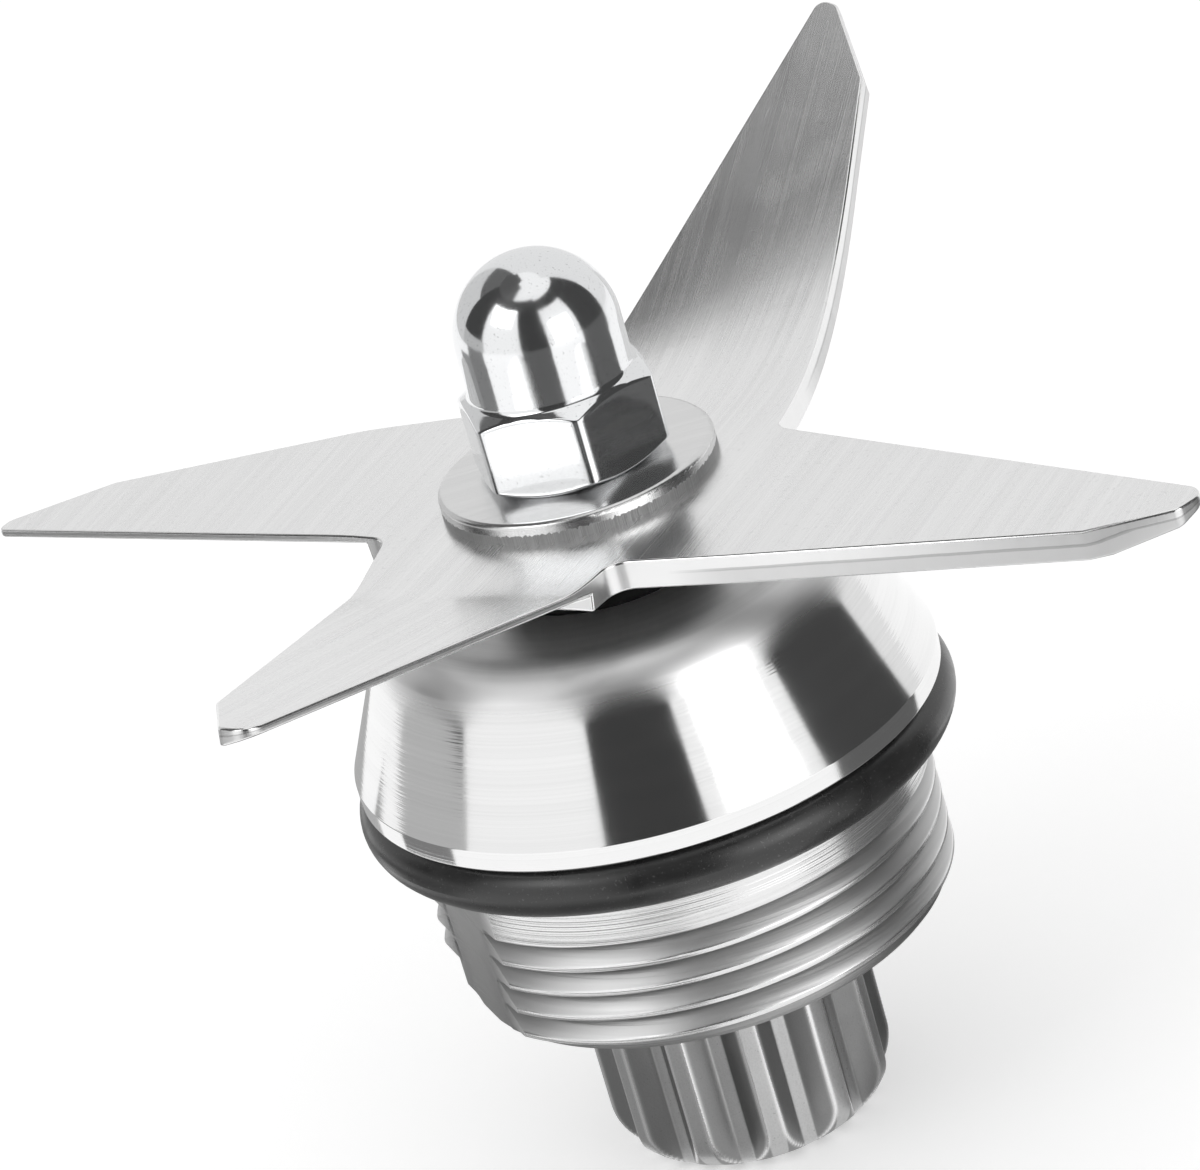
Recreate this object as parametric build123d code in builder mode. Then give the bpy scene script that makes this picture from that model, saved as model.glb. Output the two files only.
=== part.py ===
"""Blender blade assembly: a bent four-arm blade on a shaft that runs in a threaded bearing housing.

Millimetres, +Z up. Z is the shaft's axis, and Z = 0 is the flat foot of the drive spline, on which the
assembly can stand. Heights are stacked from that foot upwards.
"""

import os
from math import cos, degrees, pi, radians, sin, tan

from build123d import *

# Drive spline
spline_diameter = 17.5
spline_root_diameter = 15.0
spline_teeth = 12
spline_length = 12.6
spline_land_angle = 7.2
spline_flank_angle = 8.0
spline_end_radius = 3.0
spline_turn = 2.3
hub_diameter = 12.0
hub_length = 3.7
spline_floor = 1.5

# Shaft
shaft_diameter = 8.0
shaft_flat_width = 6.0
shaft_end_gap = 0.2
stud_diameter = 6.0
stud_end_gap = 0.5
shaft_chamfer = 0.5

# Ball bearings
bearing_width = 7.0
bearing_diameter = 22.0
land_offset = 1.5
shield_seat_rise = 0.12
shield_seat_depth = 1.0
ball_count = 7
ball_diameter = 3.97
ball_clearance = 0.03
groove_ratio = 1.04
cage_wall = 0.8
cage_length = 5.0
cage_clearance = 0.1
shield_thickness = 0.3
shield_inset = 0.25
shield_gap = 0.3
ring_chamfer = 0.3
spacer_length = 2.3
inner_spacer_diameter = 11.6
outer_spacer_wall = 1.4

# Retaining ring
clip_thickness = 1.0
clip_groove_depth = 0.65
clip_clearance = 0.05
clip_width = 2.0
clip_gap_angle = 30.0
clip_lug_radius = 1.5
clip_hole_diameter = 1.2

# Housing
clip_land = 1.7
thread_diameter = 31.1
thread_length = 10.45
thread_chamfer = 0.7
lip_diameter = 35.2
lip_thickness = 1.3
cone_height = 9.2
cone_angle = 23.75
shoulder_radius = 3.0
flat_distance = 14.4
flat_azimuth = 197.0
relief_diameter = 16.0
relief_height = 0.8
seal_step_height = 1.2
seal_step_gap = 0.5
bore_chamfer = 0.4

# Seals
o_ring_section = 3.3
o_ring_inner_diameter = 29.5
o_ring_clearance = 0.02
seal_diameter = 13.2
seal_running_gap = 0.1
seal_top_gap = 0.3
seal_edge_radius = 0.5

# Blade: each edge of the flat pattern is a line, given by its distance from the axis and its direction
blade_spacer_length = 8.7
blade_spacer_diameter = 11.0
blade_thickness = 1.8
lead_distance = 8.6
lead_edge_angle = 21.8
trail_distance = 10.84
corner_edge_angle = 20.8
corner_edge_start = 34.2
steep_corner_edge_start = 34.7
tip_edge_angle = 27.4
tip_lead_ratio = 0.5
tip_trail_radius = 0.8
notch_radius = 1.4
bend_start = 12.3
bend_end = 15.1
steep_bend_start = 9.37
steep_bend_end = 17.5
bend_stations = 8
bevel_run_out = 2.8
edge_land = 0.5
edge_bevel_width = 5.0
edge_overcut = 1.0
hole_clearance = 0.05

# Arms, anticlockwise: each is bent upwards by its lean between two lines of the flat pattern, which lie
# side by side on three of them and fan out towards the trailing edge on the steep one
steep_reach = 40.1
drooped_reach = 40.0
raised_reach = 39.1
level_reach = 38.8
steep_arm = {
    "azimuth": 65.0,
    "lean": 30.8,
    "reach": steep_reach,
    "corner_start": steep_corner_edge_start,
    "bend": ((46.0, steep_bend_start), (98.0, steep_bend_end)),
}
drooped_arm = {
    "azimuth": 158.0,
    "lean": -4.4,
    "reach": drooped_reach,
    "corner_start": corner_edge_start,
    "bend": ((171.5, bend_start), (171.5, bend_end)),
}
raised_arm = {
    "azimuth": 250.2,
    "lean": 14.3,
    "reach": raised_reach,
    "corner_start": corner_edge_start,
    "bend": ((235.8, bend_start), (235.8, bend_end)),
}
level_arm = {
    "azimuth": 330.6,
    "lean": 0.7,
    "reach": level_reach,
    "corner_start": corner_edge_start,
    "bend": ((335.7, bend_start), (335.7, bend_end)),
}
arms = (steep_arm, drooped_arm, raised_arm, level_arm)

# Washer and cap nut
washer_diameter = 16.4
washer_hole_diameter = 6.6
washer_thickness = 1.25
washer_edge_radius = 0.35
nut_sides = 6
nut_across_flats = 10.6
nut_hex_height = 5.3
nut_height = 13.0
nut_chamfer_angle = 30.0
nut_base_diameter = 9.8
nut_dome_diameter = 9.7
nut_hole_depth = 10.2
nut_turn = 37.0

quarter_turn = 90.0

# Heights along the axis
z_lower_bearing = spline_length + hub_length
z_spacer = z_lower_bearing + bearing_width
z_upper_bearing = z_spacer + spacer_length
z_bearing_top = z_upper_bearing + bearing_width
z_blade = z_bearing_top + blade_spacer_length
z_washer = z_blade + blade_thickness
z_nut = z_washer + washer_thickness
z_clip = z_lower_bearing - clip_clearance - clip_thickness
z_clip_groove = z_clip - clip_clearance
z_housing = z_clip_groove - clip_land
z_neck = z_housing + thread_length
z_lip = z_neck + o_ring_section + 2 * o_ring_clearance
z_cone = z_lip + lip_thickness
z_housing_top = z_cone + cone_height
z_relief = z_bearing_top + relief_height
z_seal = z_relief + seal_step_height

# Radii
spline_radius = spline_diameter / 2
root_radius = spline_root_diameter / 2
shaft_radius = shaft_diameter / 2
stud_radius = stud_diameter / 2
bearing_radius = bearing_diameter / 2
clip_groove_radius = bearing_radius + clip_groove_depth
thread_radius = thread_diameter / 2
lip_radius = lip_diameter / 2
neck_radius = o_ring_inner_diameter / 2 - o_ring_clearance
relief_radius = relief_diameter / 2
seal_radius = seal_diameter / 2
sleeve_radius = blade_spacer_diameter / 2

os.makedirs("parts", exist_ok=True)


def save(piece, name):
    """Label one finished piece and write it to a file of its own."""
    piece.part.label = name
    export_step(piece.part, f"parts/{name}.step")


def heading(azimuth):
    """The level unit vector at an azimuth in degrees."""
    return Vector(cos(radians(azimuth)), sin(radians(azimuth)), 0)


def tube(outer_radius, inner_radius, bottom, height):
    """A plain round sleeve or ring."""
    with BuildPart() as ring:
        with BuildSketch(Plane.XY.offset(bottom)):
            Circle(outer_radius)
            Circle(inner_radius, mode=Mode.SUBTRACT)
        extrude(amount=height)
    return ring


# Drive spline: a toothed prism with a rounded lower end, and a plain hub up to the lower bearing
with BuildPart() as drive_spline:
    with BuildSketch(Plane.XZ):
        with BuildLine():
            Polyline(
                (0, 0),
                (spline_radius, 0),
                (spline_radius, spline_length),
                (0, spline_length),
                close=True,
            )
        spline_section = make_face()
        foot_corner = spline_section.vertices().group_by(Axis.X)[-1].sort_by(Axis.Y)[0]
        fillet(foot_corner, radius=spline_end_radius)
    revolve(axis=Axis.Z)
    with BuildSketch():
        Circle(root_radius)
        tooth_top = spline_land_angle / 2
        tooth_foot = tooth_top + spline_flank_angle
        with BuildLine():
            Polyline(
                heading(-tooth_foot) * root_radius,
                heading(-tooth_top) * spline_radius,
                heading(tooth_top) * spline_radius,
                heading(tooth_foot) * root_radius,
                close=True,
            )
        tooth = make_face(mode=Mode.PRIVATE)
        with PolarLocations(0, spline_teeth, start_angle=spline_turn):
            add(tooth)
    extrude(amount=spline_length, mode=Mode.INTERSECT)
    with BuildSketch(Plane.XY.offset(spline_length)):
        Circle(hub_diameter / 2)
    extrude(amount=hub_length)
    with BuildSketch(Plane.XY.offset(spline_floor)):
        Circle(shaft_radius)
    extrude(amount=z_lower_bearing - spline_floor, mode=Mode.SUBTRACT)
save(drive_spline, "drive_spline")

# Shaft: plain through spline and bearings, two flats inside the blade, a stud inside the nut
z_shaft_top = z_washer - shaft_end_gap
z_stud_top = z_nut + nut_hole_depth - stud_end_gap
with BuildPart() as shaft:
    with BuildSketch(Plane.XZ):
        with BuildLine():
            Polyline(
                (0, spline_floor),
                (shaft_radius - shaft_chamfer, spline_floor),
                (shaft_radius, spline_floor + shaft_chamfer),
                (shaft_radius, z_shaft_top),
                (stud_radius, z_shaft_top),
                (stud_radius, z_stud_top - shaft_chamfer),
                (stud_radius - shaft_chamfer, z_stud_top),
                (0, z_stud_top),
                close=True,
            )
        make_face()
    revolve(axis=Axis.Z)
    with BuildSketch(Plane.XY.offset(z_blade)):
        Circle(shaft_radius)
        Rectangle(shaft_flat_width, shaft_diameter, mode=Mode.SUBTRACT)
    extrude(amount=blade_thickness, mode=Mode.SUBTRACT)
save(shaft, "shaft")


def build_bearing(place, bottom):
    """One shielded ball bearing, written as its rings, balls, cage and two shields."""
    pitch_radius = (bearing_radius + shaft_radius) / 2
    ball_radius = ball_diameter / 2
    groove_radius = ball_radius * groove_ratio
    inner_groove = pitch_radius - ball_radius - ball_clearance + groove_radius
    outer_groove = pitch_radius + ball_radius + ball_clearance - groove_radius
    inner_land_radius = pitch_radius - land_offset
    outer_land_radius = pitch_radius + land_offset
    seat_radius = pitch_radius + ball_radius + shield_seat_rise
    middle = bottom + bearing_width / 2
    top = bottom + bearing_width

    with BuildPart() as inner_ring:
        with BuildSketch(Plane.XZ):
            with BuildLine():
                Polyline(
                    (shaft_radius, bottom),
                    (inner_land_radius, bottom),
                    (inner_land_radius, top),
                    (shaft_radius, top),
                    close=True,
                )
            make_face()
            with Locations((inner_groove, middle)):
                Circle(groove_radius, mode=Mode.SUBTRACT)
        revolve(axis=Axis.Z)
    save(inner_ring, f"{place}_inner_ring")

    with BuildPart() as outer_ring:
        with BuildSketch(Plane.XZ):
            with BuildLine():
                Polyline(
                    (bearing_radius - ring_chamfer, bottom),
                    (bearing_radius, bottom + ring_chamfer),
                    (bearing_radius, top - ring_chamfer),
                    (bearing_radius - ring_chamfer, top),
                    (seat_radius, top),
                    (seat_radius, top - shield_seat_depth),
                    (outer_land_radius, top - shield_seat_depth),
                    (outer_land_radius, bottom + shield_seat_depth),
                    (seat_radius, bottom + shield_seat_depth),
                    (seat_radius, bottom),
                    close=True,
                )
            make_face()
            with Locations((outer_groove, middle)):
                Circle(groove_radius, mode=Mode.SUBTRACT)
        revolve(axis=Axis.Z)
    save(outer_ring, f"{place}_outer_ring")

    with BuildPart(Plane.XY.offset(middle)) as balls:
        with PolarLocations(pitch_radius, ball_count):
            Sphere(ball_radius)
    save(balls, f"{place}_balls")

    with BuildPart(Plane.XY.offset(middle)) as cage:
        Cylinder(pitch_radius + cage_wall / 2, cage_length)
        Cylinder(pitch_radius - cage_wall / 2, cage_length, mode=Mode.SUBTRACT)
        with PolarLocations(pitch_radius, ball_count):
            Cylinder(
                ball_radius + cage_clearance,
                2 * cage_wall,
                rotation=(0, quarter_turn, 0),
                mode=Mode.SUBTRACT,
            )
    save(cage, f"{place}_cage")

    shield_bottoms = {
        "bottom": bottom + shield_inset,
        "top": top - shield_inset - shield_thickness,
    }
    for side, height in shield_bottoms.items():
        shield = tube(seat_radius, inner_land_radius + shield_gap, height, shield_thickness)
        save(shield, f"{place}_{side}_shield")


build_bearing("lower", z_lower_bearing)
build_bearing("upper", z_upper_bearing)

# Rings between the two bearings
inner_spacer = tube(inner_spacer_diameter / 2, shaft_radius, z_spacer, spacer_length)
save(inner_spacer, "inner_spacer")
outer_spacer = tube(bearing_radius, bearing_radius - outer_spacer_wall, z_spacer, spacer_length)
save(outer_spacer, "outer_spacer")

# Retaining ring: an open ring with two eyes, sprung into a groove below the lower bearing
with BuildPart() as retaining_ring:
    with BuildSketch(Plane.XY.offset(z_clip)):
        clip_radius = clip_groove_radius - clip_clearance
        eye_circle = clip_radius - clip_width
        half_gap = clip_gap_angle / 2
        eye_azimuth = half_gap + degrees(clip_lug_radius / eye_circle)
        gap_reach = clip_radius * 2
        Circle(clip_radius)
        Circle(eye_circle, mode=Mode.SUBTRACT)
        with BuildLine():
            Polyline(
                (0, 0),
                heading(-half_gap) * gap_reach,
                heading(half_gap) * gap_reach,
                close=True,
            )
        make_face(mode=Mode.SUBTRACT)
        with Locations(heading(-eye_azimuth) * eye_circle, heading(eye_azimuth) * eye_circle):
            Circle(clip_lug_radius)
            Circle(clip_hole_diameter / 2, mode=Mode.SUBTRACT)
    extrude(amount=clip_thickness)
save(retaining_ring, "retaining_ring")

# Housing: one turned piece, bored from below for the bearings and from above for the seal
with BuildPart() as housing:
    with BuildSketch(Plane.XZ):
        cone_top_radius = lip_radius - cone_height * tan(radians(cone_angle))
        with BuildLine():
            Polyline(
                (bearing_radius + bore_chamfer, z_housing),
                (thread_radius - thread_chamfer, z_housing),
                (thread_radius, z_housing + thread_chamfer),
                (thread_radius, z_neck),
                (neck_radius, z_neck),
                (neck_radius, z_lip),
                (lip_radius, z_lip),
                (lip_radius, z_cone),
                (cone_top_radius, z_housing_top),
                (seal_radius, z_housing_top),
                (seal_radius, z_seal),
                (sleeve_radius + seal_step_gap, z_seal),
                (sleeve_radius + seal_step_gap, z_relief),
                (relief_radius, z_relief),
                (relief_radius, z_bearing_top),
                (bearing_radius, z_bearing_top),
                (bearing_radius, z_lower_bearing),
                (clip_groove_radius, z_lower_bearing),
                (clip_groove_radius, z_clip_groove),
                (bearing_radius, z_clip_groove),
                (bearing_radius, z_housing + bore_chamfer),
                close=True,
            )
        housing_section = make_face()
        top_corners = housing_section.vertices().group_by(Axis.Y)[-1]
        fillet(top_corners.sort_by(Axis.X)[-1], radius=shoulder_radius)
    revolve(axis=Axis.Z)
    with BuildSketch(Plane((0, 0, z_housing), x_dir=heading(flat_azimuth), z_dir=(0, 0, 1))):
        with Locations((flat_distance + thread_radius, 0)):
            Rectangle(2 * thread_radius, thread_diameter)
    extrude(amount=thread_length, mode=Mode.SUBTRACT)
save(housing, "housing")

# Rubber ring under the lip
with BuildPart() as o_ring:
    with BuildSketch(Plane.XZ):
        section_radius = o_ring_section / 2
        section_centre = (
            o_ring_inner_diameter / 2 + section_radius,
            z_neck + o_ring_clearance + section_radius,
        )
        with Locations(section_centre):
            Circle(section_radius)
    revolve(axis=Axis.Z)
save(o_ring, "o_ring")

# Shaft seal: a rubber bush in the housing's top that reaches up under the blade
with BuildPart() as shaft_seal:
    with BuildSketch(Plane.XZ):
        with BuildLine():
            Polyline(
                (sleeve_radius + seal_running_gap, z_seal),
                (seal_radius, z_seal),
                (seal_radius, z_blade - seal_top_gap),
                (sleeve_radius + seal_running_gap, z_blade - seal_top_gap),
                close=True,
            )
        seal_section = make_face()
        seal_corners = seal_section.vertices().group_by(Axis.X)[-1]
        fillet(seal_corners.sort_by(Axis.Y)[-1], radius=seal_edge_radius)
    revolve(axis=Axis.Z)
save(shaft_seal, "shaft_seal")

# Sleeve between the upper bearing and the blade
blade_spacer = tube(sleeve_radius, shaft_radius, z_bearing_top, blade_spacer_length)
save(blade_spacer, "blade_spacer")


def crossing(first, second):
    """The point where two lines meet, each an (azimuth of its normal, distance from the axis) pair."""
    azimuth_1, distance_1 = radians(first[0]), first[1]
    azimuth_2, distance_2 = radians(second[0]), second[1]
    turn = sin(azimuth_2 - azimuth_1)
    x = (distance_1 * sin(azimuth_2) - distance_2 * sin(azimuth_1)) / turn
    y = (distance_2 * cos(azimuth_1) - distance_1 * cos(azimuth_2)) / turn
    return Vector(x, y)


def arm_edges(arm):
    """The lines of one arm's flat outline: leading, trailing, cut corner and tip."""
    azimuth = arm["azimuth"]
    corner_angle = radians(corner_edge_angle)
    corner_distance = arm["corner_start"] * sin(corner_angle) + trail_distance * cos(corner_angle)
    return {
        "lead": (azimuth + quarter_turn - lead_edge_angle, lead_distance),
        "trail": (azimuth - quarter_turn, trail_distance),
        "corner": (azimuth - quarter_turn + corner_edge_angle, corner_distance),
        "tip": (azimuth - tip_edge_angle, arm["reach"]),
    }


def bend_line(arm, station):
    """A line of the flat pattern across the bend, from its root at station 0 to its end."""
    (root_azimuth, root_distance), (end_azimuth, end_distance) = arm["bend"]
    share = station / bend_stations
    azimuth = root_azimuth + (end_azimuth - root_azimuth) * share
    return (azimuth, root_distance + (end_distance - root_distance) * share)


def bent_sheet(arm, station):
    """The sheet's top face at a station of the bend, with the flat pattern's own X and Y."""
    sheet = Plane.XY.offset(z_washer)
    for index in range(station):
        azimuth, distance = bend_line(arm, index + 1 / 2)
        hinge_point = sheet.from_local_coords(heading(azimuth) * distance)
        across = heading(azimuth - quarter_turn)
        hinge = Axis(hinge_point, sheet.x_dir * across.X + sheet.y_dir * across.Y)
        step = arm["lean"] / bend_stations
        sheet = Plane(
            hinge_point + (sheet.origin - hinge_point).rotate(hinge, step),
            x_dir=sheet.x_dir.rotate(hinge, step),
            z_dir=sheet.z_dir.rotate(hinge, step),
        )
    return sheet


# Blade: a flat centre, four arms bent up or down across their roots, leading edges ground from below
with BuildPart() as blade:
    edges = [arm_edges(arm) for arm in arms]
    following = edges[1:] + edges[:1]
    notches = [crossing(edge["lead"], after["trail"]) for edge, after in zip(edges, following)]
    with BuildSketch(Plane.XY.offset(z_washer)):
        outline = []
        for arm, edge, notch in zip(arms, edges, notches):
            root = bend_line(arm, 0)
            outline += [crossing(edge["trail"], root), crossing(edge["lead"], root), notch]
        with BuildLine():
            Polyline(*outline, close=True)
        centre = make_face()
        fillet([centre.vertices().sort_by_distance(notch)[0] for notch in notches], radius=notch_radius)
        with BuildSketch(mode=Mode.PRIVATE) as shaft_hole:
            Circle(shaft_radius + hole_clearance)
            Rectangle(
                shaft_flat_width + 2 * hole_clearance, 2 * shaft_diameter, mode=Mode.INTERSECT
            )
        add(shaft_hole.sketch, mode=Mode.SUBTRACT)
    extrude(amount=-blade_thickness)

    for arm, edge in zip(arms, edges):
        for station in range(bend_stations + 1):
            line = bend_line(arm, station)
            sheet = bent_sheet(arm, station)
            trail_side = sheet.from_local_coords(crossing(edge["trail"], line))
            lead_side = sheet.from_local_coords(crossing(edge["lead"], line))
            across = lead_side - trail_side
            with BuildSketch(Plane(trail_side, x_dir=across, z_dir=across.cross(sheet.z_dir))):
                Rectangle(across.length, blade_thickness, align=(Align.MIN, Align.MAX))
        loft()

        # Outer part of the arm, flat in its own leaning plane
        sheet = bent_sheet(arm, bend_stations)
        end_line = bend_line(arm, bend_stations)
        lead_root = crossing(edge["lead"], end_line)
        tip_lead = crossing(edge["tip"], edge["lead"])
        tip_trail = crossing(edge["corner"], edge["tip"])
        with BuildSketch(sheet) as plate:
            with BuildLine():
                Polyline(
                    crossing(edge["trail"], end_line),
                    crossing(edge["trail"], edge["corner"]),
                    tip_trail,
                    tip_lead,
                    lead_root,
                    close=True,
                )
            make_face()
            fillet(plate.vertices().sort_by_distance(tip_trail)[0], radius=tip_trail_radius)
            tip_lead_radius = (tip_lead - tip_trail).length * tip_lead_ratio
            fillet(plate.vertices().sort_by_distance(tip_lead)[0], radius=tip_lead_radius)
        extrude(amount=-blade_thickness)

        # Bevel under the leading edge, from within the bend to past the tip
        outward = heading(edge["lead"][0])
        towards_tip = heading(edge["lead"][0] - quarter_turn)
        edge_length = (tip_lead - lead_root).length
        bevel_start = sheet.from_local_coords(lead_root - towards_tip * bevel_run_out)
        bevel_section = Plane(
            bevel_start,
            x_dir=sheet.x_dir * outward.X + sheet.y_dir * outward.Y,
            z_dir=sheet.x_dir * towards_tip.X + sheet.y_dir * towards_tip.Y,
        )
        slope = (blade_thickness - edge_land) / edge_bevel_width
        overcut_rise = edge_overcut * slope
        with BuildSketch(bevel_section):
            with BuildLine():
                Polyline(
                    (edge_overcut, overcut_rise - edge_land),
                    (-edge_bevel_width - edge_overcut, -blade_thickness - overcut_rise),
                    (edge_overcut, -blade_thickness - overcut_rise),
                    close=True,
                )
            make_face()
        extrude(amount=2 * (edge_length + bevel_run_out), mode=Mode.SUBTRACT)
save(blade, "blade")

# Flat washer
with BuildPart() as flat_washer:
    with BuildSketch(Plane.XY.offset(z_washer)):
        Circle(washer_diameter / 2)
        Circle(washer_hole_diameter / 2, mode=Mode.SUBTRACT)
    extrude(amount=washer_thickness)
    top_edges = flat_washer.edges().filter_by(GeomType.CIRCLE).group_by(Axis.Z)[-1]
    fillet(top_edges.sort_by(SortBy.RADIUS)[-1], radius=washer_edge_radius)
save(flat_washer, "flat_washer")

# Cap nut: a hexagon chamfered at both ends, and a high dome over a blind hole
with BuildPart() as cap_nut:
    hex_corner = nut_across_flats / 2 / cos(pi / nut_sides)
    chamfer_slope = tan(radians(nut_chamfer_angle))
    dome_radius = nut_dome_diameter / 2
    base_radius = nut_base_diameter / 2
    with BuildSketch(Plane.XY.offset(z_nut)):
        RegularPolygon(hex_corner, side_count=nut_sides, rotation=nut_turn)
    extrude(amount=nut_hex_height)
    with BuildSketch(Plane.XZ):
        with BuildLine():
            Polyline(
                (0, z_nut),
                (base_radius, z_nut),
                (hex_corner, z_nut + (hex_corner - base_radius) * chamfer_slope),
                (hex_corner, z_nut + nut_hex_height - (hex_corner - dome_radius) * chamfer_slope),
                (dome_radius, z_nut + nut_hex_height),
                (0, z_nut + nut_hex_height),
                close=True,
            )
        make_face()
    revolve(axis=Axis.Z, mode=Mode.INTERSECT)
    with BuildSketch(Plane.XZ):
        z_dome = z_nut + nut_height - dome_radius
        with BuildLine():
            Line((0, z_nut + nut_hex_height), (dome_radius, z_nut + nut_hex_height))
            Line((dome_radius, z_nut + nut_hex_height), (dome_radius, z_dome))
            RadiusArc((dome_radius, z_dome), (0, z_nut + nut_height), -dome_radius)
            Line((0, z_nut + nut_height), (0, z_nut + nut_hex_height))
        make_face()
    revolve(axis=Axis.Z)
    with BuildSketch(Plane.XY.offset(z_nut)):
        Circle(stud_radius)
    extrude(amount=nut_hole_depth, mode=Mode.SUBTRACT)
save(cap_nut, "cap_nut")
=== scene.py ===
"""Blender blade assembly on a white studio floor: metal and rubber finishes, a cut thread and eased edges.

Metres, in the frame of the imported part: Z is the shaft's axis and Z = 0 is the foot of the drive spline.
"""

from math import atan2, cos, exp, hypot, log, pi, radians, sin, tan

import bmesh
import bpy
from mathutils import Matrix, Vector


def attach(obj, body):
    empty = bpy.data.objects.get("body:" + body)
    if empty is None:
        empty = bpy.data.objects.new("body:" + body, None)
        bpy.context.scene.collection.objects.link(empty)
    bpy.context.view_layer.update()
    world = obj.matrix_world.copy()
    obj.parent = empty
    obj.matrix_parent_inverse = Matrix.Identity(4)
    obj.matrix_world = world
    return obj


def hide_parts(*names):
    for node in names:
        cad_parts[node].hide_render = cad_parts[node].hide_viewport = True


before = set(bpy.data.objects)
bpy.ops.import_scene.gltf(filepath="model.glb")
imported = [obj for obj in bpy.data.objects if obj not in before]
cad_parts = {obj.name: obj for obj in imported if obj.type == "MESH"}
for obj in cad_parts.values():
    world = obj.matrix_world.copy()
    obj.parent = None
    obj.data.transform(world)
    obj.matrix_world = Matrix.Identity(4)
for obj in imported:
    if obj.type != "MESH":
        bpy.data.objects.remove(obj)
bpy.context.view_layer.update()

mm = 0.001
full_turn = 2 * pi
half = 0.5

# Housing, turned from bar: radii and heights as in the solid
bore_radius = 11.0 * mm
bore_chamfer = 0.4 * mm
clip_groove_radius = 11.65 * mm
clip_groove_bottom = 15.2 * mm
clip_groove_top = 16.3 * mm
bearing_top = 32.6 * mm
relief_radius = 8.0 * mm
relief_top = 33.4 * mm
step_radius = 6.0 * mm
seal_seat = 34.6 * mm
seal_radius = 6.6 * mm
housing_bottom = 13.5 * mm
neck_bottom = 23.95 * mm
neck_radius = 14.73 * mm
lip_bottom = 27.29 * mm
lip_top = 28.59 * mm
lip_radius = 17.6 * mm
housing_top = 37.79 * mm
cone_angle = radians(23.75)
shoulder_radius = 3.0 * mm
lip_edge_radius = 0.2 * mm
neck_edge_radius = 0.25 * mm
flat_distance = 14.4 * mm
flat_azimuth = radians(197)
steps_around = 360
corner_steps = 8
corner_step_length = 0.15 * mm

# Jar thread, a ridge wound round the housing's core
thread_crest_radius = 15.55 * mm
thread_root_radius = 14.85 * mm
thread_pitch = 1.64 * mm
thread_full_turns = 4
thread_start_height = 14.42 * mm
crest_rounding = 0.08 * mm
thread_sizes = {
    "Root Radius": thread_root_radius,
    "Crest Radius": thread_crest_radius,
    "Crest Rounding": crest_rounding,
    "Crest Drop": 0.55 * mm,
    "Bury": 0.12 * mm,
    "Pitch": thread_pitch,
    "Turns": thread_full_turns,
    "Start Height": thread_start_height,
    "Crest Width": 0.3 * mm,
    "Base Width": 1.6 * mm,
    "Flat Distance": flat_distance,
    "Flat Azimuth": flat_azimuth,
}
thread_steps = 160
rounding_steps = 3
section_turn = radians(-90)
cutter_ratio = 4.0

# Collar over the thread, whose lower edge climbs as the thread does
collar_overlap = 0.1 * mm
collar_bottom = thread_start_height + thread_full_turns * thread_pitch - collar_overlap
collar_step = 0.14 * mm
collar_edge_reach = 2 * collar_step

# Washer
washer_bottom = 43.1 * mm
washer_thickness = 1.25 * mm
washer_rim_radius = 8.0 * mm

# Cap nut: a turned bar with a dome and chamfers, milled to a hexagon
nut_bottom = 44.35 * mm
nut_hex_top = 49.65 * mm
nut_top = 57.35 * mm
nut_sides = 6
nut_half_across = 5.3 * mm
nut_turn = radians(37)
nut_base_radius = 4.9 * mm
nut_dome_radius = 4.85 * mm
nut_chamfer_angle = radians(30)
nut_joint_radius = 0.5 * mm
nut_hole_radius = 3.0 * mm
nut_hole_top = 54.55 * mm
nut_softness = 0.13 * mm
nut_flat_rows = 30
nut_chamfer_rows = 14
widest_flat_angle = radians(72)

# Drive spline: a bar with a rounded foot, cut to teeth
spline_radius = 8.75 * mm
spline_root_radius = 7.5 * mm
spline_length = 12.6 * mm
spline_end_radius = 3.0 * mm
spline_teeth = 12
spline_turn = radians(2.3)
tooth_half_land = radians(3.6)
tooth_flank_angle = radians(8)
spline_hub_radius = 6.0 * mm
spline_hub_top = 16.3 * mm
spline_hole_radius = 4.0 * mm
spline_hole_floor = 1.5 * mm
spline_softness = 0.05 * mm
spline_steps_around = 600
rubbed_width = 0.12 * mm

# Merging and shading of the meshes made here
merge_distance = 0.002 * mm
sharp_angle = radians(28)

# Edges of the blade
short_edge = 0.1 * mm
coplanar_angle = radians(0.4)
blade_ease = 0.16 * mm
ease_segments = 3
edge_face_rise = 0.45
top_face_rise = 0.6
face_slot = 0
eased_slot = 1

# Camera, found from the round outlines in the photograph
camera_tilt = radians(24.31)
camera_roll = radians(16.19)
camera_distance = 287.74 * mm
camera_aim_height = 28.59 * mm
camera_slide_right = 2.537 * mm
camera_slide_up = -6.532 * mm
camera_lens = 147.25
camera_sensor = 36.0
camera_clip = camera_distance / 100

# Studio
floor_half_width = 3.0
floor_drop = 0.02 * mm
floor_level = 0.82
floor_mottle_level = 0.8
floor_mottle_share = 0.05
floor_mottle_scale = 3.0
floor_mottle_detail = 2.0
floor_roughness = 1.0
floor_gloss = 0.0
floor_glow = 0.37
room_light = 0.75
white_backdrop = 1.0
card_radius = 0.8
floor_card_lift = 0.1 * mm
card_steps = 16
lamp_distance = 0.8
lamp_size = 0.42
lamp_power = 0.8


def node(tree, kind, inputs=None, **settings):
    """A node with its settings made and its inputs set or linked."""
    made = tree.nodes.new(kind)
    for name, value in settings.items():
        setattr(made, name, value)
    for name, value in (inputs or {}).items():
        if isinstance(value, bpy.types.NodeSocket):
            tree.links.new(value, made.inputs[name])
        else:
            made.inputs[name].default_value = value
    return made


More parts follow.
